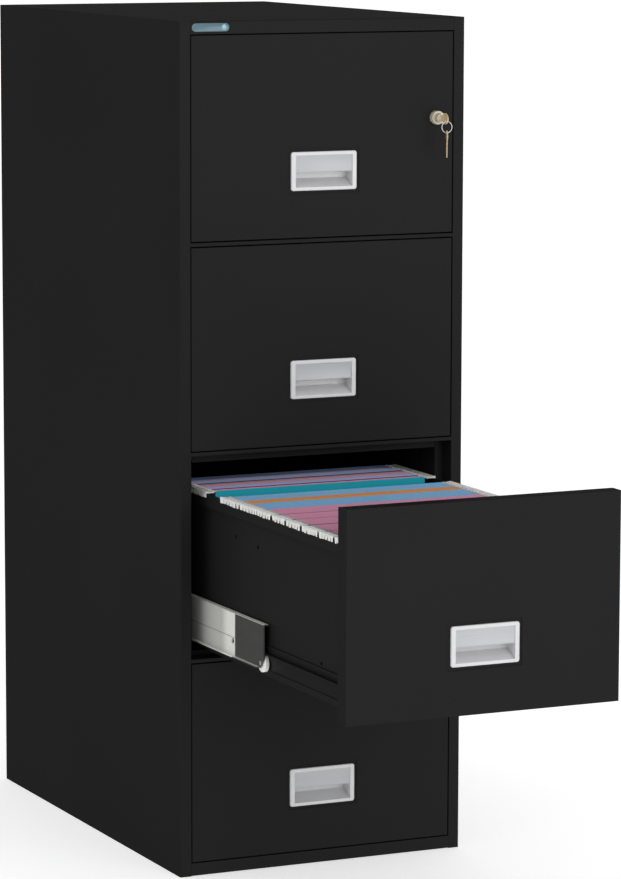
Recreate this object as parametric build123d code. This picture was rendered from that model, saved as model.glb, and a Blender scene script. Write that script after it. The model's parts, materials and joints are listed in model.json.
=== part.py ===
from build123d import *
import os

# Four-drawer fire-resistant filing cabinet, in millimetres.
# Origin: centre of the base on the floor. +X right, -Y front, +Z up.
# Drawers are numbered from the top. Drawer 3 is stored pulled open.

# Outer case
width = 502
depth = 788
height = 1372
half_width = width / 2
front = -depth / 2
rear = depth / 2
sheet = 1.5
seam = 0.3
sheet_bend = 2.5
frame_bend = 1.5
top_corner = 2
badge = {"x": -197, "z": 1361.5, "long": 64, "tall": 13, "thick": 1.2}

# Drawer openings and the rooms behind them
drawers = (1, 2, 3, 4)
opening_half = 231.8
opening_height = 328
end_rail = 21
mid_rail = 6
pitch = opening_height + mid_rail
recess = 30
room_half = 217
floor_lip = 8
roof_lip = 14
return_end = -305
room_back = 345
liner = 1.0
slab_gap = 0.3
rail_edge = 1

# Drawer head: steel front pan and the stepped insulated plug behind it
panel_half = 230
panel_gap = 1.8
panel_depth = 28
plug_half = 214
plug_depth = 24
plug_gap = 2
plug_back = front + panel_depth + plug_depth
plug_corner = 3
pan_corner = 1.2
fill_gap = 0.2

# Drawer travel, and how far each drawer stands open
open_travel = {1: 0, 2: 0, 3: 571, 4: 0}
member_share = 0.5

# Tray
tray_sheet = 1.2
tray_back = 335
tray_floor = 11
tray_top = 267
tray_side = 196
tray_back_top = 230
band_side = 203
band_height = 20
foot_band = 1.2
foot_band_top = 21
side_hole = 5.5
side_holes = ((81, 212), (-3, 208), (-237, 66))

# Slides, as heights above the opening's sill and distances from the centre plane
channel_low = 64.5
channel_high = 98
channel_web = 216.8
channel_lip = 208
rail_metal = 1.8
bracket_front = -340
channel_front = -300
channel_back = 340
member_low = 24
member_high = 94
member_web = 205.5
member_metal = 2
member_front = -336
member_back = 335
member_flange = 199
member_foot = 213
member_edge = 1.6
nose_cut = 15
member_hole = {"r": 4.5, "y": -218.5, "z": 49}
runner_back = 330
runner_metal = 2
runner_reach = 205
runner_low = 38
runner_high = 60
runner_shelf = 46.9
tab_long = 40
tab_top = 91.4
front_roller = {"r": 14.5, "y": -324, "z": 32, "x": 198.5, "wide": 6.7}
rear_roller = {"r": 14.4, "y": 318, "z": 81.25, "x": 208.1, "wide": 6.2}
case_roller = {"r": 6.7, "y": -325, "z": 17, "x": 208.2, "wide": 6.2}
roller_edge = 0.8
axle_r = 2.5
axle_clear = 0.05
axle_inner = 198.8
axle_outer = 214

# Handle, seen from the front: bezel, opening, label plate
handle_height = 108
bezel = (115, 62, 3.5)
bezel_corner = 4
bezel_edge = 1.5
pocket = (100, 51)
pocket_wall = 1.5
pocket_back = -372.5
pocket_slope = 13
label_height = 27
label_metal = 1.6
label_set_back = 1
dish = (125, 73)
dish_depth = 1

# Lock on drawer 1, pushed in to lock
lock_x = 199.5
lock_z = 1211
lock_face = -404
housing_r = 11
sleeve_r = 9.5
plunger_r = 8.2
core_r = 5.8
rod_r = 3
collar_edge = 1.5
sleeve_end = 1.5
plunger_back = plug_back - 10
plunger_proud = 12
core_back = plug_back - 14
core_proud = 13
core_floor = 0.5
tip_plane = plug_back + 6
fit = 0.05
key_metal = 2
key_tall = 8
key_end = plug_back - 20
keyway_end = plug_back - 18
keyway_gap = 0.15
bow_front = -438
bow_back = -418
bow_tall = 18
bow_corner = 6
hole_r = 2.6
hole_lift = 1.2
ring_r = 9
ring_wire_r = 0.7
ring_hang = (lock_x, -434, 1206.6)
spare_turn = 20
spare_top = 3.8
spare_bow = 17
spare_end = -40
spare_tip = 2.5

# Lock bar and what it catches on each drawer
bar_x = (221, 225)
bar_y = (-352, -336)
hook_low = 120
hook_tall = 10
hook_y = (-340, -336)
hook_tip = 209.5
lift = 8
slot_clear = 2
catch_low = 134
catch_tall = 18
catch_set_back = 9.5
catch_reach = 212.5
wedge_clear = 0.45
wedge_y = (-340, -324)
wedge_tall = 16
wedge_half = 2.5
window_z = (lock_z - 4, lock_z + 26)
bar_low = 110
bar_high = lock_z + 30
bar_room_low = 60
bar_room_high = lock_z + 60

# Hanging folders in drawer 3: front and back of each bundle along the open drawer
folder_half = 188
folder_hang = 204.5
folder_low = 20
folder_top = 270.2
folder_bar = 3
bundles = {
    "folders_blue": ((-298, -245), (-352, -322), (-500, -456), (-588, -533)),
    "folders_pink": ((-320, -300), (-384, -354), (-900, -592)),
    "folders_teal_orange": ((-452, -388), (-530, -503)),
}

os.makedirs("parts", exist_ok=True)


def sill(drawer):
    """Height of the opening's lower edge."""
    return end_rail + (len(drawers) - drawer) * pitch


def block(x, y, z):
    """A box given as three (low, high) pairs."""
    size = [high - low for low, high in (x, y, z)]
    centre = [(high + low) / 2 for low, high in (x, y, z)]
    return Pos(*centre) * Box(*size)


def pair(solid):
    """A right-hand solid and its left-hand mirror image."""
    return [solid, mirror(solid, about=Plane.YZ)]


def rod(radius, x, y, z):
    """A cylinder along X from x[0] to x[1]."""
    middle = (x[0] + x[1]) / 2
    return Pos(middle, y, z) * Rot(0, 90, 0) * Cylinder(radius, x[1] - x[0])


def barrel(radius, x, y, z):
    """A cylinder along Y from y[0] to y[1]."""
    middle = (y[0] + y[1]) / 2
    return Pos(x, middle, z) * Rot(90, 0, 0) * Cylinder(radius, y[1] - y[0])


def save(node, *solids):
    """One STEP file; a node with repeats holds them as separate solids."""
    shape = solids[0] if len(solids) == 1 else Compound(children=list(solids))
    export_step(shape, "parts/" + node + ".step")


# Case


def side_panel():
    """Right side sheet, bent round into the face of the front stile."""
    middle = half_width - sheet / 2
    face = front + sheet / 2
    path = ((middle, rear - sheet - seam), (middle, face), (opening_half, face))
    bend = FilletPolyline(*path, radius=sheet_bend)
    return extrude(trace(bend, sheet), height)


def top_panel():
    """Top sheet with its front edge bent down to make the top rail's face."""
    middle = height - sheet / 2
    face = front + sheet / 2
    path = ((rear - sheet - seam, middle), (face, middle), (face, height - end_rail))
    bend = FilletPolyline(*path, radius=sheet_bend)
    half = opening_half - seam
    centre = Pos(-half, 0, 0) * extrude(Plane.YZ * trace(bend, sheet), 2 * half)
    flat_y = (front + sheet + seam, rear - sheet - seam)
    edge = block((half, half_width - sheet - seam), flat_y, (height - sheet, height))
    edge = fillet(edge.edges().filter_by(Axis.Z).group_by(Axis.Y)[0].sort_by(Axis.X)[-1], top_corner)
    right, left = pair(edge)
    return centre + right + left


def rear_panel():
    return block((-half_width, half_width), (rear - sheet, rear), (0, height))


def stile():
    """Right stile behind its face: recess wall, stop flange and the return into the room."""
    outer = opening_half + sheet / 2
    inner = room_half + sheet / 2
    stop = front + recess + sheet / 2
    start = front + sheet + seam
    path = ((outer, start), (outer, stop), (inner, stop), (inner, return_end))
    bend = FilletPolyline(*path, radius=frame_bend)
    low = sheet + seam
    return Pos(0, 0, low) * extrude(trace(bend, sheet), height - 2 * low)


def lock_slots():
    """Windows in the right stile's return that the lock bar's hooks and wedge reach through."""
    x = (room_half - 1, room_half + sheet + 1)
    windows = [block(x, (wedge_y[0] - slot_clear, wedge_y[1] + slot_clear), window_z)]
    for n in drawers:
        z = (sill(n) + hook_low - slot_clear, sill(n) + hook_low + hook_tall + lift + slot_clear)
        windows.append(block(x, (hook_y[0] - slot_clear, hook_y[1] + slot_clear), z))
    return windows


def rail(low, high, floor_above=None, roof_below=None):
    """Cross rail: recess walls, stop flange and returns; a mid rail also carries its own face."""
    half = opening_half - seam
    inner = room_half - seam
    start = front + sheet + seam
    stop = front + recess
    flange_y = (stop, stop + sheet)
    return_y = (stop, return_end)
    walls = []
    lips = [low, high]
    if floor_above:
        lips.append(high + floor_above)
        walls.append(block((-half, half), (start, stop), (high - sheet, high)))
        walls.append(block((-inner, inner), return_y, (high + floor_above - sheet, high + floor_above)))
    if roof_below:
        lips.append(low - roof_below)
        walls.append(block((-half, half), (start, stop), (low, low + sheet)))
        walls.append(block((-inner, inner), return_y, (low - roof_below, low - roof_below + sheet)))
    if floor_above and roof_below:
        face = block((-half, half), (front, start), (low, high))
        face = fillet(face.faces().sort_by(Axis.Y)[0].edges().filter_by(Axis.X), rail_edge)
        walls.append(face)
    solid = block((-inner, inner), flange_y, (min(lips), max(lips)))
    for wall in walls:
        solid += wall
    return solid


def front_frame():
    """Two stiles, the top and bottom rails and the three rails between drawers."""
    right = stile()
    left = mirror(right, about=Plane.YZ)
    for slot in lock_slots():
        right -= slot
    parts = [right, left]
    parts.append(rail(height - end_rail, height - end_rail + sheet, roof_below=roof_lip))
    parts.append(rail(end_rail - sheet, end_rail, floor_above=floor_lip))
    for n in drawers[:-1]:
        parts.append(rail(sill(n) - mid_rail, sill(n), floor_above=floor_lip, roof_below=roof_lip))
    return parts


def insulation():
    """Cast slabs between the outer sheets and the liners, one for each wall and shelf."""
    gap = slab_gap
    inner = room_half + sheet + gap
    outer = half_width - sheet - gap
    y = (front + recess + sheet + gap, rear - sheet - gap)
    z = (sheet + gap, height - sheet - gap)
    left = block((-outer, -inner), y, z)
    right = block((inner, outer), y, z)
    bar_room_y = (bar_y[0] - slot_clear, wedge_y[1] + slot_clear)
    right -= block((inner - 1, bar_x[1] + slot_clear), bar_room_y, (sill(4) + bar_room_low, bar_room_high))
    between = (-room_half + gap, room_half - gap)
    shelf_y = (y[0], room_back + liner + gap)
    slabs = [left, right, block(between, (shelf_y[1] + gap, y[1]), z)]
    slabs.append(block(between, shelf_y, (z[0], end_rail + floor_lip - sheet - gap)))
    slabs.append(block(between, shelf_y, (height - end_rail - roof_lip + sheet + gap, z[1])))
    for n in drawers[:-1]:
        roof = sill(n) - mid_rail - roof_lip
        slabs.append(block(between, shelf_y, (roof + sheet + gap, sill(n) + floor_lip - sheet - gap)))
    return slabs


def liners():
    """One open-fronted steel box per drawer room."""
    boxes = []
    for n in drawers:
        z = (sill(n) + floor_lip, sill(n) + opening_height - roof_lip)
        y = (return_end + seam, room_back)
        room = block((-room_half, room_half), (y[0] - 1, y[1]), z)
        outer = room_half + liner
        shell = block((-outer, outer), (y[0], y[1] + liner), (z[0] - liner, z[1] + liner))
        boxes.append(shell - room)
    return boxes


def badge_plate():
    """Blank pill-shaped plate on the top rail."""
    outline = Plane.XZ * SlotOverall(badge["long"], badge["tall"])
    return Pos(badge["x"], front, badge["z"]) * extrude(outline, badge["thick"])


# Slides


def case_rail(n):
    """Right channel fixed to the liner, with the bracket that carries the case roller."""
    base = sill(n)
    z = (base + channel_low, base + channel_high)
    web_x = (channel_web - rail_metal, channel_web)
    flange_x = (channel_lip, channel_web)
    y = (channel_front, channel_back)
    solid = block(web_x, (bracket_front, channel_back), z)
    solid += block(flange_x, y, (z[0], z[0] + rail_metal))
    solid += block(flange_x, y, (z[1] - rail_metal, z[1]))
    solid += block(web_x, (bracket_front, channel_front), (base + floor_lip + 1, z[1]))
    solid += rod(axle_r, (channel_lip, web_x[1]), case_roller["y"], base + case_roller["z"])
    return solid


def member(n, shift):
    """Right travelling member between the case channel and the drawer's runner."""
    base = sill(n)
    y = (member_front - shift, member_back - shift)
    low = base + member_low
    high = base + member_high
    outer = member_web + member_metal
    solid = block((member_web, outer), y, (low, high))
    solid += block((member_flange, outer), y, (high - rail_metal, high))
    solid = fillet(solid.edges().filter_by(Axis.Y).group_by(Axis.Z)[-1].sort_by(Axis.X)[-1], member_edge)
    solid += block((member_web, member_foot), (y[0] + nose_cut + 1, y[1]), (low, low + rail_metal))
    corner = [(y[0] - 1, low - 1), (y[0] + nose_cut, low - 1), (y[0] - 1, low + nose_cut)]
    solid -= extrude(Plane.YZ * make_face(Polyline(*corner, close=True)), member_foot)
    through = (member_flange, outer + 1)
    solid -= rod(member_hole["r"], through, member_hole["y"] - shift, base + member_hole["z"])
    solid += rod(axle_r, (axle_inner, outer), front_roller["y"] - shift, base + front_roller["z"])
    solid += rod(axle_r, (member_web, axle_outer), rear_roller["y"] - shift, base + rear_roller["z"])
    return solid


def roller(sizes, n, shift):
    """Right nylon roller with its axle bore."""
    x = (sizes["x"], sizes["x"] + sizes["wide"])
    y = sizes["y"] - shift
    z = sill(n) + sizes["z"]
    tyre = rod(sizes["r"], x, y, z)
    tyre = chamfer(tyre.edges().filter_by(GeomType.CIRCLE), roller_edge)
    return tyre - rod(axle_r + axle_clear, (x[0] - 1, x[1] + 1), y, z)


def runner(n, shift):
    """Right runner on the tray: a shelf on the front roller and a hold-down tab at the rear."""
    base = sill(n)
    y = (plug_back - shift, runner_back - shift)
    web_x = (tray_side, tray_side + runner_metal)
    shelf_x = (tray_side, runner_reach)
    shelf = base + runner_shelf
    tab_y = (y[1] - tab_long, y[1])
    tab = base + tab_top
    solid = block(web_x, y, (base + runner_low, base + runner_high))
    solid += block(shelf_x, y, (shelf, shelf + rail_metal))
    solid += block(web_x, tab_y, (base + runner_high, tab))
    solid += block(shelf_x, tab_y, (tab - rail_metal, tab))
    return solid


# Drawer


def front_panel(n, shift):
    """Steel pan, open at the back, with a shallow dish round the handle's hole."""
    base = sill(n)
    z = (base + panel_gap, base + opening_height - panel_gap)
    y = (front - shift, front + panel_depth - shift)
    solid = block((-panel_half, panel_half), y, z)
    solid = fillet(solid.faces().sort_by(Axis.Y)[0].edges(), pan_corner)
    inside = (panel_half - sheet, z[0] + sheet, z[1] - sheet)
    solid -= block((-inside[0], inside[0]), (y[0] + sheet, y[1] + 1), (inside[1], inside[2]))
    at_handle = Pos(0, y[0], base + handle_height)
    solid += at_handle * Pos(0, sheet, 0) * Box(dish[0] + 2 * sheet, 2 * dish_depth, dish[1] + 2 * sheet)
    solid -= at_handle * Box(dish[0], 2 * dish_depth, dish[1])
    wall = 2 * pocket_wall
    solid -= at_handle * Box(pocket[0] + wall, 4 * sheet, pocket[1] + wall)
    if n == 1:
        solid -= barrel(sleeve_r, lock_x, (y[0] - 1, y[0] + sheet + 1), lock_z)
    return solid


def insulated_head(n, shift):
    """Insulation that fills the front pan and steps down to the plug that seals the room."""
    base = sill(n)
    split = front + panel_depth - shift
    edge = sheet + fill_gap
    inside = panel_half - edge
    z = (base + panel_gap + edge, base + opening_height - panel_gap - edge)
    plug_z = (base + floor_lip + plug_gap, base + opening_height - roof_lip - plug_gap)
    fill = block((-inside, inside), (front + edge - shift, split), z)
    plug = block((-plug_half, plug_half), (split, split + plug_depth), plug_z)
    solid = fill + fillet(plug.edges().filter_by(Axis.Z), plug_corner)
    at_handle = Pos(0, front - shift, base + handle_height)
    hollow = 2 * (edge + dish_depth)
    solid -= at_handle * Box(dish[0] + 2 * edge, hollow, dish[1] + 2 * edge)
    cup = (pocket[0] / 2 + pocket_wall, pocket[1] / 2 + pocket_wall)
    cup_z = (base + handle_height - cup[1], base + handle_height + cup[1])
    solid -= block((-cup[0], cup[0]), (front - shift, pocket_back + pocket_wall - shift), cup_z)
    if n == 1:
        solid -= barrel(sleeve_r, lock_x, (front - 1, plug_back + 1), lock_z)
    return solid


def tray(n, shift):
    """Two sides, each with a hanging rail and a foot band, a bottom, a back and the lock bar's catch."""
    base = sill(n)
    y = (plug_back - shift, tray_back - shift)
    inner = tray_side - tray_sheet
    low = base + tray_floor
    step = base + tray_top - band_height
    side = block((inner, tray_side), y, (low, step - tray_sheet))
    hanging_rail = block((inner, band_side), y, (step - tray_sheet, step))
    hanging_rail += block((band_side - tray_sheet, band_side), y, (step - tray_sheet, base + tray_top))
    foot = block((tray_side, tray_side + foot_band), y, (low, base + foot_band_top))
    for back, up in side_holes:
        side -= Pos(tray_side, back - shift, base + up) * Box(4 * tray_sheet, side_hole, side_hole)
    inner -= 0.1
    floor = block((-inner, inner), y, (low, low + tray_sheet))
    back = block((-inner, inner), (y[1] - tray_sheet, y[1]), (low + tray_sheet, base + tray_back_top))
    catch_y = (y[0] + catch_set_back, y[0] + catch_set_back + sheet)
    catch = block((tray_side, catch_reach), catch_y, (base + catch_low, base + catch_low + catch_tall))
    return pair(side) + pair(hanging_rail) + pair(foot) + [floor, back, catch]


def handle(n, shift):
    """Cast bezel with the cup behind it; the cup's floor slopes up to the back."""
    solid = Box(bezel[0], bezel[2], bezel[1])
    solid = fillet(solid.edges().filter_by(Axis.Y), bezel_corner)
    solid = fillet(solid.faces().sort_by(Axis.Y)[0].edges(), bezel_edge)
    solid = Pos(0, front + dish_depth - bezel[2] / 2, 0) * solid
    deep = pocket_back + pocket_wall
    half = (pocket[0] / 2, pocket[1] / 2)
    outer = (half[0] + pocket_wall, half[1] + pocket_wall)
    solid += block((-outer[0], outer[0]), (front, deep), (-outer[1], outer[1]))
    solid -= block((-half[0], half[0]), (front - bezel[2], pocket_back), (-half[1], half[1]))
    corners = ((front, -half[1]), (pocket_back, -half[1]), (pocket_back, pocket_slope - half[1]))
    slope = make_face(Polyline(*corners, close=True))
    solid += Pos(-half[0], 0, 0) * extrude(Plane.YZ * slope, pocket[0])
    return Pos(0, -shift, sill(n) + handle_height) * solid


def label_plate(n, shift):
    """Flat plate across the upper half of the handle's opening."""
    top = sill(n) + handle_height + pocket[1] / 2
    face = front + dish_depth - bezel[2] + label_set_back - shift
    return block((-pocket[0] / 2, pocket[0] / 2), (face, face + label_metal), (top - label_height, top))


# Lock


def lock_housing():
    """Round collar and the sleeve that runs through the drawer head."""
    collar = barrel(housing_r, lock_x, (lock_face, front), lock_z)
    collar = fillet(collar.faces().sort_by(Axis.Y)[0].edges(), collar_edge)
    solid = collar + barrel(sleeve_r, lock_x, (front, plug_back), lock_z)
    solid -= barrel(plunger_r + fit, lock_x, (lock_face - 1, plug_back - sleeve_end), lock_z)
    return solid - barrel(rod_r + fit, lock_x, (plug_back - sleeve_end - 1, plug_back + 1), lock_z)


def wedge_side(offset, x, y_high, z_high):
    """Prism on the far side of the 45 degree plane where y + (z - lock_z) = offset."""
    low = y_high + z_high - offset
    points = ((y_high, lock_z + z_high), (y_high - low, lock_z + z_high), (y_high, lock_z + z_high - low))
    return Pos(x[0], 0, 0) * extrude(Plane.YZ * make_face(Polyline(*points, close=True)), x[1] - x[0])


def lock_plunger():
    """Push-in barrel with a rod whose tip is cut at 45 degrees to lift the lock bar."""
    solid = barrel(plunger_r, lock_x, (lock_face - plunger_proud, plunger_back), lock_z)
    solid -= barrel(core_r + fit, lock_x, (lock_face - core_proud, core_back + core_floor), lock_z)
    tip = barrel(rod_r, lock_x, (plunger_back, tip_plane + rod_r), lock_z)
    far = 5 * rod_r
    cut = wedge_side(tip_plane, (lock_x - housing_r, lock_x + housing_r), tip_plane + far, far)
    return solid + (tip - cut)


def lock_core():
    """Cylinder that the key turns, with its keyway."""
    solid = barrel(core_r, lock_x, (lock_face - core_proud, core_back), lock_z)
    keyway = (key_metal / 2 + keyway_gap, key_tall / 2 + keyway_gap)
    x = (lock_x - keyway[0], lock_x + keyway[0])
    z = (lock_z - keyway[1], lock_z + keyway[1])
    return solid - block(x, (lock_face - core_proud - 1, keyway_end), z)


def key():
    """Key in the lock: blade inside the core, bow standing on edge in front of it."""
    x = (lock_x - key_metal / 2, lock_x + key_metal / 2)
    blade = block(x, (bow_back - 1, key_end), (lock_z - key_tall / 2, lock_z + key_tall / 2))
    bow = block(x, (bow_front, bow_back), (lock_z - bow_tall / 2, lock_z + bow_tall / 2))
    bow = fillet(bow.edges().filter_by(Axis.X), bow_corner)
    hole = rod(hole_r, (x[0] - 1, x[1] + 1), ring_hang[1], ring_hang[2] + hole_lift)
    return blade + bow - hole


def key_ring():
    """Closed wire ring that hangs through the key's bow."""
    centre = Pos(ring_hang[0], ring_hang[1], ring_hang[2] - ring_r)
    return centre * Rot(90, 0, 0) * Torus(ring_r, ring_wire_r)


def spare_key():
    """Second key, hanging from the bottom of the ring."""
    wire = ring_hang[2] - 2 * ring_r
    x = (-key_metal / 2, key_metal / 2)
    bow = block(x, (-spare_bow / 2, spare_bow / 2), (spare_top - bow_tall, spare_top))
    bow = fillet(bow.edges().filter_by(Axis.X), bow_corner)
    blade = block(x, (-key_tall / 2, key_tall / 2), (spare_end, spare_top - bow_tall + 1))
    tip = chamfer(blade.edges().filter_by(Axis.X).group_by(Axis.Z)[0], spare_tip)
    solid = bow + tip - rod(hole_r, (-key_tall, key_tall), 0, hole_lift + ring_wire_r / 2 - hole_r)
    return Pos(ring_hang[0], ring_hang[1], wire) * Rot(0, 0, -spare_turn) * solid


def lock_bar():
    """Upright bar in the right wall, a hook for each drawer and the wedge tab it is lifted by."""
    parts = [block(bar_x, bar_y, (sill(4) + bar_low, bar_high))]
    for n in drawers:
        z = sill(n) + hook_low
        parts.append(block((hook_tip, bar_x[0]), hook_y, (z, z + hook_tall)))
    x = (lock_x - wedge_half, bar_x[0])
    edge = wedge_side(tip_plane + wedge_clear, x, wedge_y[1], wedge_tall)
    parts.append(edge & block(x, wedge_y, (lock_z - slot_clear, lock_z + wedge_tall)))
    return parts


# Contents


def folder_bundle(spans):
    """Hanging folders as slabs, each hung by a bar on the tray's side bands."""
    base = sill(3)
    slabs = []
    for y in spans:
        slab = block((-folder_half, folder_half), y, (base + folder_low, base + folder_top))
        slab += block((-folder_hang, folder_hang), y, (base + folder_top - folder_bar, base + folder_top))
        slabs.append(slab)
    return slabs


right_panel, left_panel = pair(side_panel())
save("right_side_panel", right_panel)
save("left_side_panel", left_panel)
save("top_panel", top_panel())
save("base_pan", mirror(top_panel(), about=Plane.XY.offset(height / 2)))
save("rear_panel", rear_panel())
save("front_frame", *front_frame())
save("insulation", *insulation())
save("compartment_liners", *liners())
save("badge_plate", badge_plate())
save("case_slide_rails", *[solid for n in drawers for solid in pair(case_rail(n))])
save("lock_bar", *lock_bar())

for n in drawers:
    pull = open_travel[n]
    half_pull = pull * member_share
    name = "drawer_" + str(n) + "_"
    save(name + "front_panel", front_panel(n, pull))
    save(name + "insulated_head", insulated_head(n, pull))
    save(name + "tray", *tray(n, pull))
    save(name + "runners", *pair(runner(n, pull)))
    save(name + "handle", handle(n, pull))
    save(name + "label_plate", label_plate(n, pull))
    save(name + "slide_members", *pair(member(n, half_pull)))
    save(name + "front_rollers", *pair(roller(front_roller, n, half_pull)))
    save(name + "rear_rollers", *pair(roller(rear_roller, n, half_pull)))
    save(name + "case_rollers", *pair(roller(case_roller, n, 0)))

save("lock_housing", lock_housing())
save("lock_plunger", lock_plunger())
save("lock_core", lock_core())
save("key", key())
save("key_ring", key_ring())
save("spare_key", spare_key())

for node, spans in bundles.items():
    save(node, *folder_bundle(spans))
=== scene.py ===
import json
import math
import random

import bpy
from mathutils import Euler, Matrix, Vector


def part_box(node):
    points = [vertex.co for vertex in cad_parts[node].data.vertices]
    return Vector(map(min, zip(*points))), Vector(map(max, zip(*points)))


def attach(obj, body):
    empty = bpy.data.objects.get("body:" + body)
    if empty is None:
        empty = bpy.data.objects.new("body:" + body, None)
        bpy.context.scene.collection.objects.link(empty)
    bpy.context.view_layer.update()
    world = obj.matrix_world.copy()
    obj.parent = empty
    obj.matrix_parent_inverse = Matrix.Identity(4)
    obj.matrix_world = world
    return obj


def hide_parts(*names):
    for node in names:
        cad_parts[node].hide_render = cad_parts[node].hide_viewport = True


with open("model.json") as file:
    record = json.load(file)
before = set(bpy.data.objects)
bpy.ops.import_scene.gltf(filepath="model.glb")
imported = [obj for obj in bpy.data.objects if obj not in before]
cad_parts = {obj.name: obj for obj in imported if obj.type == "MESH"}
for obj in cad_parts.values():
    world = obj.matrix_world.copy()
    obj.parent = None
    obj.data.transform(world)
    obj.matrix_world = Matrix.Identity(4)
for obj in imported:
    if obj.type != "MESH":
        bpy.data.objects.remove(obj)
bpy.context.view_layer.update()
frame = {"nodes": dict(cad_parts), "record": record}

nodes = frame["nodes"]
drawers = (1, 2, 3, 4)
mm = 0.001
dice = random.Random(31)
print("frame loaded:", len(nodes), "nodes")


stageSet = {
    "cameraPlace": (-2.76403, -6.27914, 1.61998),
    "yaw": 24.981, "pitch": -8.074, "roll": 0.137,
    "lens": 166.99,
    "floorTone": 0.94, "floorGlow": 0.50, "floorSize": 80,
    "skySeen": 1.0, "skyLight": 0.62, "skyGloss": 0.12,  # as seen, as it lights things, and in reflections
    "keyPower": 80, "keySize": 3.2, "keyPlace": (1.8, -6.2, 2.0),
    "fillPower": 8, "fillSize": 2.5, "fillPlace": (-5.5, -3.0, 2.6),
    "topPower": 8, "topSize": 2.5, "topPlace": (0.0, -0.6, 4.6),
}


def aimed(name, place, target, power, size):
    bpy.ops.object.light_add(type="AREA", location=place)
    lamp = bpy.context.object
    lamp.name = name
    lamp.data.shape = "SQUARE"
    lamp.data.size = size
    lamp.data.energy = power
    lamp.rotation_euler = (Vector(target) - Vector(place)).to_track_quat("-Z", "Y").to_euler()
    return lamp


def makeStage(s):
    bpy.ops.object.select_all(action="DESELECT")
    bpy.ops.object.camera_add(location=s["cameraPlace"])
    camera = bpy.context.object
    camera.name = "viewCamera"
    camera.data.lens = s["lens"]
    camera.data.sensor_width = 36
    camera.data.clip_end = 200
    heading = Euler((math.radians(90 + s["pitch"]), 0, math.radians(-s["yaw"]))).to_matrix()
    camera.rotation_euler = (heading @ Matrix.Rotation(math.radians(s["roll"]), 3, "Z")).to_euler()
    bpy.context.scene.camera = camera

    bpy.ops.mesh.primitive_plane_add(size=s["floorSize"], location=(0, 0, 0))
    floor = bpy.context.object
    floor.name = "studioFloor"

    middle = (0, -0.3, 0.7)
    aimed("keyLight", s["keyPlace"], middle, s["keyPower"], s["keySize"])
    aimed("fillLight", s["fillPlace"], middle, s["fillPower"], s["fillSize"])
    aimed("topLight", s["topPlace"], middle, s["topPower"], s["topSize"])

    world = bpy.data.worlds.new("studioSky")
    world.use_nodes = True
    tree = world.node_tree
    tree.nodes["Background"].inputs["Color"].default_value = (1, 1, 1, 1)
    path = tree.nodes.new("ShaderNodeLightPath")
    wire = s["skyLight"]
    for ray, power in (("Is Camera Ray", s["skySeen"]), ("Is Glossy Ray", s["skyGloss"])):
        step = tree.nodes.new("ShaderNodeMath")
        step.operation = "MULTIPLY_ADD"
        tree.links.new(path.outputs[ray], step.inputs[0])
        step.inputs[1].default_value = power - s["skyLight"]
        if isinstance(wire, float):
            step.inputs[2].default_value = wire
        else:
            tree.links.new(wire, step.inputs[2])
        wire = step.outputs[0]
    tree.links.new(wire, tree.nodes["Background"].inputs["Strength"])
    bpy.context.scene.world = world
    floor.visible_glossy = False
    bpy.context.scene.view_settings.view_transform = "Standard"
    return floor


floor = makeStage(stageSet)
print("stage ready")


class Wire:  # a socket that can be used in sums
    def __init__(self, finish, socket):
        self.finish = finish
        self.socket = socket

    def sum(self, operation, first, second):
        return self.finish.node("Math", {"operation": operation}, {0: first, 1: second})

    def __add__(self, other):
        return self.sum("ADD", self, other)

    def __radd__(self, other):
        return self.sum("ADD", other, self)

    def __sub__(self, other):
        return self.sum("SUBTRACT", self, other)

    def __rsub__(self, other):
        return self.sum("SUBTRACT", other, self)

    def __mul__(self, other):
        return self.sum("MULTIPLY", self, other)

    def __rmul__(self, other):
        return self.sum("MULTIPLY", other, self)


class Finish:  # one material, built a node at a time
    def __init__(self, name, **constants):
        self.material = bpy.data.materials.new(name)
        self.material.use_nodes = True
        self.tree = self.material.node_tree
        self.shader = self.tree.nodes["Principled BSDF"]
        for socket, value in constants.items():
            self.shader.inputs[socket.replace("_", " ")].default_value = value
        self.place = self.node("TexCoord", output="Object")

    def node(self, kind, settings=None, sockets=None, output=0):
        made = self.tree.nodes.new("ShaderNode" + kind)
        for setting, value in (settings or {}).items():
            setattr(made, setting, value)
        for socket, value in (sockets or {}).items():
            if isinstance(value, Wire):
                self.tree.links.new(value.socket, made.inputs[socket])
            else:
                made.inputs[socket].default_value = value
        return Wire(self, made.outputs[output])

    def feed(self, **sockets):
        for socket, wire in sockets.items():
            self.tree.links.new(wire.socket, self.shader.inputs[socket.replace("_", " ")])

    def stretched(self, scale):
        return self.node("Mapping", {"vector_type": "POINT"}, {"Vector": self.place, "Scale": scale})

    def noise(self, scale, detail=3, rough=0.5, vector=None):
        sockets = {"Vector": vector or self.place, "Scale": scale, "Detail": detail, "Roughness": rough}
        return self.node("TexNoise", {}, sockets, "Fac")

    def part(self, vector, axis):
        return self.node("SeparateXYZ", {}, {0: vector}, axis)

    def between(self, value, low, high):  # eased 0 to 1 as the value goes from low to high
        return self.node("MapRange", {"interpolation_type": "SMOOTHSTEP"},
                         {"Value": value, "From Min": low, "From Max": high})

    def mix(self, factor, first, second):
        def colour(value):
            return value if isinstance(value, Wire) else (*value, 1)
        made = self.tree.nodes.new("ShaderNodeMix")
        made.data_type = "RGBA"
        for socket, value in ((0, factor), (6, colour(first)), (7, colour(second))):
            if isinstance(value, Wire):
                self.tree.links.new(value.socket, made.inputs[socket])
            else:
                made.inputs[socket].default_value = value
        return Wire(self, made.outputs[2])

    def bump(self, height, depth):
        self.feed(Normal=self.node("Bump", {}, {"Height": height, "Distance": depth, "Strength": 1.0}))


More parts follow.
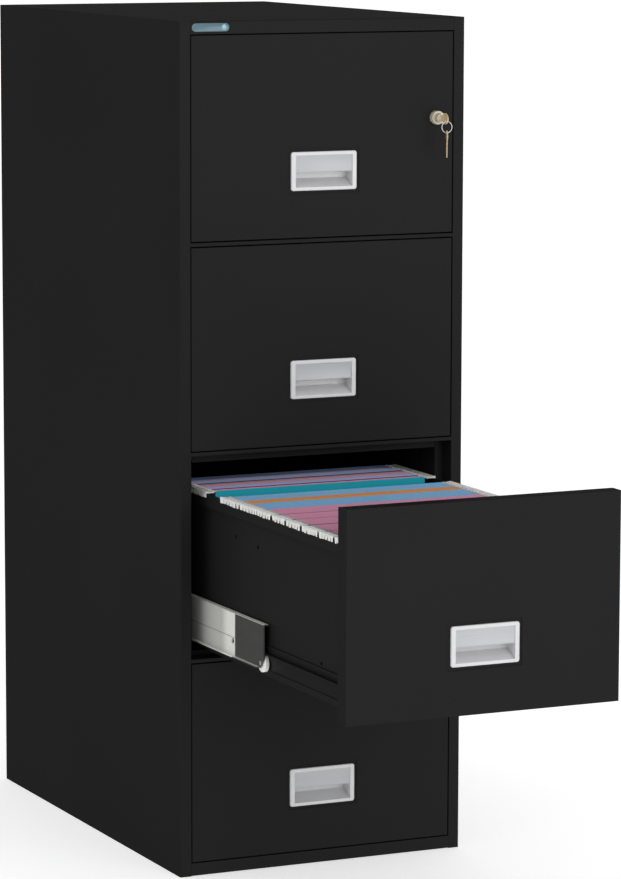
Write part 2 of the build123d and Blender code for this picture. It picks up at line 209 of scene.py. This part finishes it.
def paintFinish(name, tone, rough, peel, specular):
    f = Finish(name, Specular_IOR_Level=specular)
    cloud = f.noise(3.1, 4)
    speck = f.noise(900, 2)
    dark = tuple(channel * 0.88 for channel in tone)
    light = tuple(channel * 1.12 for channel in tone)
    f.feed(Base_Color=f.mix(cloud, dark, light))
    f.feed(Roughness=rough - 0.05 + cloud * 0.06 + speck * 0.06)
    f.bump(f.noise(peel, 3, 0.55) + f.noise(peel * 3.1, 2) * 0.4, 0.00007)
    return f.material


def floorFinish(tone, glow):
    f = Finish("floorPaper", Specular_IOR_Level=0.1, Emission_Strength=glow)
    f.shader.inputs["Emission Color"].default_value = (1, 1, 1, 1)
    f.feed(Base_Color=f.mix(f.noise(0.7, 2), (tone - 0.01,) * 3, (tone,) * 3))
    f.feed(Roughness=0.75 + f.noise(2, 2) * 0.1)
    return f.material


def castFinish():
    f = Finish("castInsulation")
    grit = f.noise(240, 6, 0.7)
    f.feed(Base_Color=f.mix(grit, (0.58, 0.55, 0.48), (0.74, 0.71, 0.64)), Roughness=0.85 + grit * 0.12)
    f.bump(grit + f.noise(40, 3), 0.0006)
    return f.material


def zincFinish():
    f = Finish("zincPlate", Metallic=0.55)
    drawn = f.noise(300, 3, 0.6, f.stretched((1.0, 0.04, 1.0)))
    cloud = f.noise(24, 3)
    f.feed(Base_Color=f.mix(drawn * 0.6 + cloud * 0.4, (0.50, 0.50, 0.48), (0.72, 0.72, 0.70)))
    f.feed(Roughness=0.26 + drawn * 0.16)
    f.bump(drawn, 0.00003)
    return f.material


memberPaintedLight = {  # painted reflection bands and a painted shade line, in metres back from the member's front end, and up from its underside
    "brightStart": 0.109, "brightEnd": 0.148, "edge": 0.004, "fade": 0.030,
    "crease": 0.0305, "creaseHalf": 0.0006, "creaseShadeTone": (0.03, 0.03, 0.03),
    "dark": (0.046, 0.046, 0.045), "mid": (0.62, 0.62, 0.59), "bright": (0.96, 0.96, 0.90),
}


def memberFinish(n, low, s):  # rolled steel, with painted reflections as bands of dark, bright and mid-grey, a painted shade line along its crease and a painted highlight on faces turned up
    f = Finish(f"memberZinc{n}", Metallic=0.1)
    along = f.part(f.place, "Y") - low.y
    drawn = f.noise(300, 3, 0.6, f.stretched((1.0, 0.04, 1.0)))
    streak = f.noise(90, 2, 0.5, f.stretched((1.0, 1.0, 0.03)))
    # painted reflections: a dark band gives way to a bright one, which fades to mid-grey further back
    reflectionStart = f.between(along + streak * s["edge"], s["brightStart"], s["brightStart"] + s["edge"])
    reflectionFade = f.between(along + streak * s["fade"], s["brightEnd"], s["brightEnd"] + s["fade"])
    tone = f.mix(reflectionFade, f.mix(reflectionStart, s["dark"], s["bright"]), s["mid"])
    # painted shade: a dark line along the crease in the web
    up = f.part(f.place, "Z") - (low.z + s["crease"])
    apart = f.node("Math", {"operation": "ABSOLUTE"}, {0: up})
    line = 1 - f.between(apart, s["creaseHalf"] * 0.6, s["creaseHalf"])
    tone = f.mix(line * 0.8, tone, s["creaseShadeTone"])
    # painted highlight: faces turned upwards take the bright tone
    above = f.part(f.node("NewGeometry", output="Normal"), "Z")
    tone = f.mix(f.between(above, 0.3, 0.8), tone, s["bright"])
    f.feed(Base_Color=f.mix(drawn * 0.2, tone, (0.30, 0.30, 0.29)), Roughness=0.26 + drawn * 0.16)
    f.bump(drawn, 0.00003)
    return f.material


def nylonFinish():
    f = Finish("whiteNylon", Subsurface_Weight=0.12)
    f.shader.inputs["Subsurface Radius"].default_value = (0.004, 0.004, 0.003)
    f.shader.inputs["Subsurface Scale"].default_value = 0.5
    grain = f.noise(420, 3)
    f.feed(Base_Color=f.mix(grain, (0.90, 0.90, 0.88), (0.97, 0.97, 0.95)), Roughness=0.34 + grain * 0.14)
    f.bump(grain, 0.00003)
    return f.material


def castSilverFinish():
    f = Finish("castSilver", Metallic=0.08)
    flow = f.noise(70, 4, 0.6)
    grain = f.noise(1400, 2)
    f.feed(Base_Color=f.mix(flow, (0.70, 0.70, 0.71), (0.80, 0.80, 0.81)), Roughness=0.32 + grain * 0.12)
    f.bump(grain + flow * 0.5, 0.00002)
    return f.material


def labelFinish():
    f = Finish("labelSatin", Metallic=0.15)
    brushed = f.noise(420, 4, 0.6, f.stretched((0.03, 1.0, 1.0)))
    f.feed(Base_Color=f.mix(brushed, (0.54, 0.55, 0.57), (0.62, 0.63, 0.65)), Roughness=0.42 + brushed * 0.12)
    f.bump(brushed, 0.00001)
    return f.material


def metalFinish(name, dark, light, rough, scratch):
    f = Finish(name, Metallic=0.3)
    stain = f.noise(180, 4, 0.6)
    fine = f.noise(scratch, 3, 0.6, f.stretched((1.0, 1.0, 0.08)))
    f.feed(Base_Color=f.mix(stain, dark, light), Roughness=rough + fine * 0.16 + stain * 0.06)
    f.bump(fine, 0.00002)
    return f.material


def badgeFinish():
    f = Finish("badgeTeal", Coat_Weight=0.3, Coat_Roughness=0.15)
    streak = f.noise(60, 2, 0.5, f.stretched((0.2, 1.0, 1.0)))
    f.feed(Base_Color=f.mix(streak, (0.07, 0.155, 0.20), (0.13, 0.22, 0.27)), Roughness=0.26 + streak * 0.1)
    f.bump(streak, 0.00001)
    return f.material


# painted shade below the folders' rim: where it starts under the rim, how far it spreads, and how much colour
# it leaves
shadeSet = {"rim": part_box("folders_blue")[1].z, "start": 0.0036, "spread": 1.5, "left": 0.16}


def cardFinish(name, tone, start=shadeSet["start"]):  # painted shade below the rim, so that the gaps between folders read as dark
    f = Finish(name, Sheen_Weight=0.05, Specular_IOR_Level=0.25)
    fibre = f.noise(700, 5, 0.65, f.stretched((0.35, 1.0, 1.0)))
    fade = f.noise(9, 2)
    deep = tuple(channel * 0.86 for channel in tone)
    pale = tuple(min(1.0, channel * 1.08 + 0.01) for channel in tone)
    shade = tuple(channel * shadeSet["left"] for channel in tone)
    under = shadeSet["rim"] - f.part(f.place, "Z")
    below = f.between(under, start, start * shadeSet["spread"])
    f.feed(Base_Color=f.mix(below, f.mix(fibre * 0.6 + fade * 0.4, deep, pale), shade))
    f.feed(Roughness=0.68 + fibre * 0.14)
    f.bump(fibre, 0.00004)
    return f.material


paints = {
    "case": {"tone": (0.0186, 0.0186, 0.0187), "rough": 0.46, "peel": 420, "specular": 0.05},
    "head": {"tone": (0.0170, 0.0170, 0.0172), "rough": 0.42, "peel": 380, "specular": 0.05},
    "inside": {"tone": (0.0185, 0.0185, 0.0188), "rough": 0.38, "peel": 300, "specular": 0.07},
}
finishes = {
    "case_paint": paintFinish("casePaint", *paints["case"].values()),
    "head_paint": paintFinish("headPaint", *paints["head"].values()),
    "inner_paint": paintFinish("insidePaint", *paints["inside"].values()),
    "insulation": castFinish(),
    "zinc": zincFinish(),
    "nylon": nylonFinish(),
    "handle_chrome": castSilverFinish(),
    "label_metal": labelFinish(),
    "lock_nickel": metalFinish("satinNickel", (0.72, 0.64, 0.50), (0.92, 0.84, 0.68), 0.24, 700),
    "key_brass": metalFinish("keyBrass", (0.70, 0.50, 0.25), (0.95, 0.80, 0.52), 0.24, 900),
    "ring_steel": metalFinish("ringSteel", (0.78, 0.78, 0.78), (0.92, 0.92, 0.92), 0.14, 800),
    "badge": badgeFinish(),
    "folder_blue": cardFinish("blueCard", (0.30, 0.62, 0.96)),
    "folder_pink": cardFinish("pinkCard", (1.0, 0.42, 0.62), 0.0018),
    "folder_teal": cardFinish("tealCard", (0.008, 0.46, 0.60), 0.0100),
}
extraFinishes = {
    "orange": cardFinish("orangeCard", (1.0, 0.40, 0.14)),
    "slate": cardFinish("slateCard", (0.13, 0.20, 0.34)),
    "lavender": cardFinish("lavenderCard", (0.50, 0.60, 0.96)),
    "mauve": cardFinish("mauveCard", (0.60, 0.38, 0.56)),
    "plum": cardFinish("plumCard", (0.10, 0.045, 0.085)),
    "salmon": cardFinish("salmonCard", (0.92, 0.48, 0.44)),
    "magenta": cardFinish("magentaCard", (0.22, 0.03, 0.09)),
    "boss": metalFinish("bossEnamel", (0.30, 0.54, 0.60), (0.36, 0.60, 0.66), 0.3, 500),
}
floor.data.materials.append(floorFinish(stageSet["floorTone"], stageSet["floorGlow"]))


def dress(piece, finish):
    piece.data.materials.clear()
    piece.data.materials.append(finish)


slotOf = {part["node"]: part["material_slot"] for part in frame["record"]["subparts"]}
for node, part in nodes.items():
    for index in range(len(part.material_slots)):
        part.material_slots[index].material = finishes[slotOf[node]]
print("materials ready")


def startClean():
    if bpy.context.object and bpy.context.object.mode != "OBJECT":
        bpy.ops.object.mode_set(mode="OBJECT")
    bpy.ops.object.select_all(action="DESELECT")


def settle(name):
    piece = bpy.context.object
    piece.name = name
    piece.data.name = name
    bpy.ops.object.transform_apply(location=True, rotation=True, scale=True)
    return piece


def addBlock(name, low, high):
    startClean()
    low, high = Vector(low), Vector(high)
    bpy.ops.mesh.primitive_cube_add(size=1, location=(low + high) / 2, scale=high - low)
    return settle(name)


def addDrum(name, centre, radius, length, axis, sides=24):
    turn = {"X": (0, math.radians(90), 0), "Y": (math.radians(90), 0, 0)}[axis]
    startClean()
    bpy.ops.mesh.primitive_cylinder_add(vertices=sides, radius=radius, depth=length,
                                        location=centre, rotation=turn)
    return settle(name)


def pick(piece, kind, test):  # selects what passes the test and goes into edit mode
    startClean()
    bpy.context.view_layer.objects.active = piece
    piece.select_set(True)
    mesh = piece.data
    for group in (mesh.vertices, mesh.edges, mesh.polygons):
        group.foreach_set("select", [False] * len(group))
    if kind == "face":
        for face in mesh.polygons:
            face.select = bool(test(face.center, face.normal))
    else:
        for vertex in mesh.vertices:
            vertex.select = bool(test(vertex.co))
    bpy.ops.object.mode_set(mode="EDIT")
    bpy.ops.mesh.select_mode(type={"face": "FACE", "point": "VERT"}[kind])


def leave():
    bpy.ops.object.mode_set(mode="OBJECT")


def finishWith(piece, kind, **settings):
    startClean()
    bpy.context.view_layer.objects.active = piece
    piece.select_set(True)
    modifier = piece.modifiers.new(kind.lower(), kind)
    for setting, value in settings.items():
        setattr(modifier, setting, value)
    bpy.ops.object.modifier_apply(modifier=modifier.name)


def smooth(piece, degrees=35):
    startClean()
    bpy.context.view_layer.objects.active = piece
    piece.select_set(True)
    bpy.ops.object.shade_smooth_by_angle(angle=math.radians(degrees))


def softEdges(piece, width, segments=3, degrees=35):
    finishWith(piece, "BEVEL", width=width, segments=segments, limit_method="ANGLE",
               angle_limit=math.radians(degrees), harden_normals=False)
    smooth(piece)


def copyOf(piece, name, shift=(0, 0, 0), mirrored=False):
    twin = piece.copy()
    twin.data = piece.data.copy()
    twin.name = name
    twin.data.name = name
    bpy.context.scene.collection.objects.link(twin)
    twin.data.transform(Matrix.Translation(Vector(shift)))
    if mirrored:
        twin.data.transform(Matrix.Scale(-1, 4, (1, 0, 0)))
        twin.data.flip_normals()
    return twin


def joined(pieces, name):
    startClean()
    for piece in pieces:
        piece.select_set(True)
    bpy.context.view_layer.objects.active = pieces[0]
    if len(pieces) > 1:
        bpy.ops.object.join()
    whole = bpy.context.object
    whole.name = name
    whole.data.name = name
    return whole


def keep(piece, body, slot, replaced=()):
    dress(piece, finishes[slot])
    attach(piece, body)
    if replaced:
        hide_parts(*replaced)


plateSet = {"lip": 0.0016, "sink": 0.0004, "edge": 0.0002}


def makeLabelHolder(n, s):
    low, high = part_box(f"drawer_{n}_label_plate")
    plate = addBlock(f"label_holder_{n}", low, high)
    pick(plate, "face", lambda c, normal: normal.y < -0.9)
    bpy.ops.mesh.inset(thickness=s["lip"])
    bpy.ops.mesh.extrude_region_move(TRANSFORM_OT_translate={"value": (0, s["sink"], 0)})
    leave()
    softEdges(plate, s["edge"], 2, 40)
    keep(plate, f"drawer_{n}", "label_metal", [f"drawer_{n}_label_plate"])


for n in drawers:
    makeLabelHolder(n, plateSet)
print("label plates made")


slideSet = {
    "webOut": 0.0065, "slack": 0.0003, "rivetRim": 0.35,
    # each rivet's distance back and up from the member's front lower corner, and its radius
    "rivets": ((0.012, 0.008, 0.0036), (0.1205, 0.0225, 0.0019), (0.330, 0.025, 0.0036)),
    "rivetTall": 0.0005, "dome": 0.0002, "edgeSoft": 0.00015,
    "wide": {"front_rollers": 0.0067, "rear_rollers": 0.0062, "case_rollers": 0.0062},
    "tyreSoft": 0.0011, "softShare": 0.12, "hub": 0.0062, "hubShare": 0.62, "hubSink": 0.0008,
}


def makeWebDetail(n, s):  # rivet heads on the outer face of each member
    low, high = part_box(f"drawer_{n}_slide_members")
    face = high.x - s["webOut"]
    made = []
    for back, up, radius in s["rivets"]:
        spot = Vector((face + s["rivetTall"] / 2 - s["slack"], low.y + back, low.z + up))
        head = addDrum("rivet", spot, radius, s["rivetTall"], "X", 20)
        pick(head, "face", lambda c, normal: normal.x > 0.9)
        bpy.ops.mesh.inset(thickness=radius * s["rivetRim"])
        bpy.ops.transform.translate(value=(s["dome"], 0, 0))
        leave()
        made.append(head)
    right = joined(made, f"member_rivets_{n}")
    softEdges(right, s["edgeSoft"], 2)
    left = copyOf(right, "left", mirrored=True)
    both = joined([right, left], f"member_rivets_{n}")
    keep(both, f"slide_members_{n}", "zinc")


def makeTyres(n, kind, s):  # nylon wheels with a sunk hub, in place of the plain rollers
    low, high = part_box(f"drawer_{n}_{kind}")
    across = high.x - s["wide"][kind]
    radius = (high.z - low.z) / 2
    middle = Vector(((across + high.x) / 2, (low.y + high.y) / 2, (low.z + high.z) / 2))
    tyre = addDrum("tyre", middle, radius, high.x - across, "X", 40)
    hub = min(s["hub"], radius * s["hubShare"])
    pick(tyre, "face", lambda c, normal: abs(normal.x) > 0.9)
    bpy.ops.mesh.inset(thickness=radius - hub, use_individual=True)
    leave()
    for side in (-1, 1):
        pick(tyre, "face", lambda c, normal: normal.x * side > 0.9 and (c - middle).yz.length < hub * 0.2)
        bpy.ops.mesh.extrude_region_move(TRANSFORM_OT_translate={"value": (-side * s["hubSink"], 0, 0)})
        leave()
    softEdges(tyre, min(s["tyreSoft"], radius * s["softShare"]), 3, 40)
    left = copyOf(tyre, "left", mirrored=True)
    wheels = joined([tyre, left], f"{kind[:-1]}_wheels_{n}")
    keep(wheels, f"{kind}_{n}", "nylon", [f"drawer_{n}_{kind}"])


for n in drawers:
    member = nodes[f"drawer_{n}_slide_members"]
    finish = memberFinish(n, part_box(f"drawer_{n}_slide_members")[0], memberPaintedLight)
    for index in range(len(member.material_slots)):
        member.material_slots[index].material = finish
    makeWebDetail(n, slideSet)
    for kind in slideSet["wide"]:
        makeTyres(n, kind, slideSet)
print("slides detailed")


def pack(count, colour, wide, gap, last):  # a bundle of like folders
    return ((colour, wide, gap),) * (count - 1) + ((colour, wide, last),)


folderSet = {
    "halfWide": 0.1865, "card": 0.0006, "low": 0.022, "fold": 0.0028,
    "hookHalf": 0.2044, "rodTall": 0.0026, "rodThick": 0.0011, "rodIn": 0.0004,
    "rodSoft": 0.0003, "rodOverlap": 0.002, "rodInset": 0.0008,
    "tip": (0.0150, 0.0080, 0.0030), "lip": (0.0012, 0.0044), "tipShapes": 7,
    "lipSpan": (0.5, 0.9), "lipSlide": 0.0012, "lipDrop": (-0.0030, 0.0022),
    "tail": (0.6, 0.7), "tipSoft": 0.42,
    "wave": 0.0012, "lean": 0.0010, "waves": 1.5, "sag": (0.0003, 0.0008), "settle": 0.0002,
    "start": -0.245, "belowTray": 0.011,
    # colour, opening at the top and the gap in front of it, from the back of the drawer forwards
    "run": (
        ("slate", 11, 2.0), ("slate", 10, 3.0), ("mauve", 9, 1.0),
        ("lavender", 11, 1.0), ("lavender", 12, 1.5),
        ("plum", 7, 1.5), ("mauve", 8, 1.0), ("salmon", 10, 1.0), ("pink", 8, 1.5), ("lavender", 10, 1.0),
        ("lavender", 10, 1.5), ("magenta", 8, 1.5), ("pink", 8, 3.0), ("teal", 64, 4.0),
        *pack(4, "blue", 10, 1.0, 3.0), *pack(2, "orange", 12.5, 1.0, 3.0), *pack(5, "blue", 10, 1.0, 8.0),
        *pack(4, "pink", 10, 1.0, 13.0), *pack(4, "pink", 9, 1.0, 13.0), *pack(4, "pink", 10, 1.0, 14.0),
        *pack(5, "pink", 9, 1.0, 12.0), *pack(4, "pink", 10, 1.0, 12.0), *pack(5, "pink", 9, 1.0, 8.0),
    ),
}


def makeFolder(name, rear, front, s, base, top):
    card = addBlock(name, (-s["halfWide"], front, base + s["low"]), (s["halfWide"], rear, top))
    pick(card, "face", lambda c, normal: normal.z > 0.9 or abs(normal.x) > 0.9)
    bpy.ops.mesh.delete(type="FACE")
    leave()
    pick(card, "face", lambda c, normal: True)
    bpy.ops.mesh.subdivide(number_cuts=7, quadcorner="INNERVERT")
    leave()
    middle = (front + rear) / 2
    wave = dice.uniform(-s["wave"], s["wave"])
    lean = dice.uniform(-s["lean"], s["lean"])
    narrow = s["fold"] / (rear - front)
    for vertex in card.data.vertices:  # the leaves close towards the fold and bow between their rods
        up = max(0, (vertex.co.z - base - s["low"]) / (top - base - s["low"]))
        along = vertex.co.x / s["halfWide"]
        closing = narrow + (1 - narrow) * up ** 0.8
        bow = wave * math.sin(math.pi * along * s["waves"] + wave * 900) * (1 - up) + lean * (1 - up) * along
        vertex.co.y = middle + (vertex.co.y - middle) * closing + bow * (0.3 + up) * 0.8
    finishWith(card, "SOLIDIFY", thickness=s["card"], offset=0.0)
    smooth(card, 30)
    return card


def makeRod(y, s, z):  # the end of a rod, between the card and its white tip
    near = s["halfWide"] - s["rodOverlap"]
    far = s["hookHalf"] - s["tip"][0] + s["rodOverlap"]
    bar = addBlock("rod", (near, y - s["rodThick"] / 2, z - s["rodTall"]), (far, y + s["rodThick"] / 2, z))
    softEdges(bar, s["rodSoft"], 2)
    return bar


def makeTipShape(s):  # a moulded hook: a body on the rail and a lip that hangs outside it
    long, wide, tall = s["tip"]
    lipThick, lipTall = s["lip"]
    tip = addBlock("tip", (-long, -wide / 2, -tall), (0, wide / 2, 0))
    pick(tip, "face", lambda c, normal: True)
    bpy.ops.mesh.bisect(plane_co=(-lipThick, 0, 0), plane_no=(1, 0, 0))
    leave()
    pick(tip, "face", lambda c, normal: normal.z < -0.9 and c.x > -lipThick)
    bpy.ops.mesh.extrude_region_move(TRANSFORM_OT_translate={"value": (0, 0, -lipTall)})
    bpy.ops.transform.resize(value=(1, dice.uniform(*s["lipSpan"]), 1))
    aside = dice.uniform(-s["lipSlide"], s["lipSlide"])
    bpy.ops.transform.translate(value=(0, aside, dice.uniform(*s["lipDrop"])))
    leave()
    pick(tip, "face", lambda c, normal: normal.x < -0.9)
    bpy.ops.transform.resize(value=(1, *s["tail"]))
    leave()
    finishWith(tip, "BEVEL", width=lipThick * s["tipSoft"], segments=2, limit_method="ANGLE")
    smooth(tip, 50)
    return tip


def makeFolders(s):
    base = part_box("drawer_3_tray")[0].z - s["belowTray"]
    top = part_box("folders_blue")[1].z
    cards = {}
    rods = []
    tips = []
    shapes = [makeTipShape(s) for _ in range(s["tipShapes"])]
    y = s["start"]
    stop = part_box("folders_pink")[0].y
    for index, (colour, wide, gap) in enumerate(s["run"]):
        front = y - wide * mm
        if front < stop:
            break
        card = makeFolder(f"card{index}", y, front, s, base, top - dice.uniform(*s["sag"]))
        cards.setdefault(colour, []).append(card)
        for edge in (y - s["rodInset"], front + s["rodInset"]):
            rods.append(makeRod(edge, s, top - s["rodIn"]))
            place = (s["hookHalf"], edge, top - dice.uniform(0, s["settle"]))
            tips.append(copyOf(dice.choice(shapes), "tip", place))
        y = front - gap * mm
    for shape in shapes:
        bpy.data.objects.remove(shape)
    print("folders hung:", sum(len(group) for group in cards.values()), "last front", round(y, 4))
    return cards, rods, tips


cards, rods, tips = makeFolders(folderSet)
slots = {"blue": "folder_blue", "slate": "folder_blue", "lavender": "folder_blue", "teal": "folder_teal",
         "orange": "folder_teal"}
stands = {"blue": ["folders_blue"], "pink": ["folders_pink"], "teal": ["folders_teal_orange"]}
for colour, group in cards.items():
    pile = joined(group, f"hanging_folders_{colour}")
    keep(pile, "drawer_3", slots.get(colour, "folder_pink"), stands.get(colour, ()))
    if colour in extraFinishes:
        dress(pile, extraFinishes[colour])
for made, name, slot in ((rods, "folder_rod_ends", "zinc"), (tips, "folder_hook_tips", "nylon")):
    right = joined(made, name)
    left = copyOf(right, "left", mirrored=True)
    keep(joined([right, left], name), "drawer_3", slot)
print("folders made")


keySet = {
    "metal": 0.0016, "bowTall": 0.018, "bowLong": 0.020, "bladeTall": 0.0076, "holeRadius": 0.0026,
    # each notch's distance from the bow's centre, and its depth
    "notches": ((0.0145, 0.0012), (0.0185, 0.0024), (0.0225, 0.0010), (0.0265, 0.0020)),
    "notchHalf": 0.0016, "keyLong": 0.034, "spareLong": 0.0337, "edge": 0.0003, "spareTurn": -20,
    "groove": 0.0002, "ribShare": 0.30, "tailShare": 0.45, "ringHole": 0.0005, "spareHole": 0.0006,
}


def makeKey(name, long, hole, s):  # bow centred on the origin, blade along +Y, standing on edge
    bow = addDrum(name, (0, 0, 0), s["bowTall"] / 2, s["metal"], "X", 40)
    bow.data.transform(Matrix.Diagonal((1, s["bowLong"] / s["bowTall"], 1, 1)))
    blade = addBlock("blade", (-s["metal"] / 2, s["bowLong"] * 0.4, -s["bladeTall"] / 2),
                     (s["metal"] / 2, long, s["bladeTall"] / 2))
    for along, _ in s["notches"]:
        for cut in (along - s["notchHalf"], along, along + s["notchHalf"]):
            pick(blade, "face", lambda c, normal: True)
            bpy.ops.mesh.bisect(plane_co=(0, cut, 0), plane_no=(0, 1, 0))
            leave()
    for along, deep in s["notches"]:
        pick(blade, "point", lambda co: co.z < 0 and abs(co.y - along) < s["notchHalf"] / 4)
        bpy.ops.transform.translate(value=(0, 0, deep))
        leave()
    pick(blade, "face", lambda c, normal: normal.y > 0.9)
    bpy.ops.transform.resize(value=(1, 1, s["tailShare"]))
    leave()
    finishWith(bow, "BOOLEAN", operation="UNION", object=blade, solver="EXACT")
    punch = addDrum("punch", (0, *hole), s["holeRadius"], s["metal"] * 3, "X", 24)
    finishWith(bow, "BOOLEAN", operation="DIFFERENCE", object=punch, solver="EXACT")
    rib = addDrum("rib", (0, 0, 0), s["bowTall"] * s["ribShare"], s["metal"] + 2 * s["groove"], "X", 32)
    finishWith(bow, "BOOLEAN", operation="UNION", object=rib, solver="EXACT")
    finishWith(bow, "BOOLEAN", operation="DIFFERENCE", object=punch, solver="EXACT")
    for tool in (blade, punch, rib):
        bpy.data.objects.remove(tool)
    softEdges(bow, s["edge"], 2, 40)
    return bow


def makeKeys(s):
    low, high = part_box("key")
    ringLow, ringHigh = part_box("key_ring")
    centre = Vector(((low.x + high.x) / 2, low.y + s["bowLong"] / 2, (low.z + high.z) / 2))
    ring = (ringLow + ringHigh) / 2
    ringTop = (ring.y - centre.y, ringHigh.z - centre.z + s["ringHole"])
    inLock = makeKey("key_brass", s["keyLong"], ringTop, s)
    inLock.data.transform(Matrix.Translation(centre))
    keep(inLock, "lock_core", "key_brass", ["key"])
    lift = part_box("spare_key")[1].z - ringLow.z - s["bowLong"] / 2
    spare = makeKey("spare_key_brass", s["spareLong"], (lift - s["spareHole"], 0), s)
    hang = Matrix.Rotation(math.radians(s["spareTurn"]), 4, "Z") @ Matrix.Rotation(math.radians(-90), 4, "X")
    spare.data.transform(Matrix.Translation((ring.x, ring.y, ringLow.z + lift)) @ hang)
    keep(spare, "spare_key", "key_brass", ["spare_key"])


makeKeys(keySet)
print("keys made")


badgeSet = {"rim": 0.0009, "sink": 0.0003, "dot": 0.0046, "dotIn": 0.0085, "dotTall": 0.0006, "edge": 0.0002}


def makeBadge(s):  # a blank pill with a raised rim and a plain round boss
    low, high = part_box("badge_plate")
    radius = (high.z - low.z) / 2
    middle = Vector((low.x + radius, (low.y + high.y) / 2, (low.z + high.z) / 2))
    pill = addDrum("badge_pill", middle, radius, high.y - low.y, "Y", 48)
    pick(pill, "point", lambda co: co.x > middle.x + 0.0001)
    bpy.ops.transform.translate(value=(high.x - low.x - 2 * radius, 0, 0))
    leave()
    pick(pill, "face", lambda c, normal: normal.y < -0.9)
    bpy.ops.mesh.inset(thickness=s["rim"])
    bpy.ops.mesh.extrude_region_move(TRANSFORM_OT_translate={"value": (0, s["sink"], 0)})
    leave()
    softEdges(pill, s["edge"], 2, 40)
    keep(pill, "cabinet", "badge", ["badge_plate"])
    spot = (high.x - s["dotIn"], low.y + s["sink"], middle.z)
    boss = addDrum("badge_boss", spot, s["dot"], s["dotTall"], "Y", 32)
    softEdges(boss, s["edge"], 2, 40)
    keep(boss, "cabinet", "badge")
    dress(boss, extraFinishes["boss"])


makeBadge(badgeSet)
print("badge made")
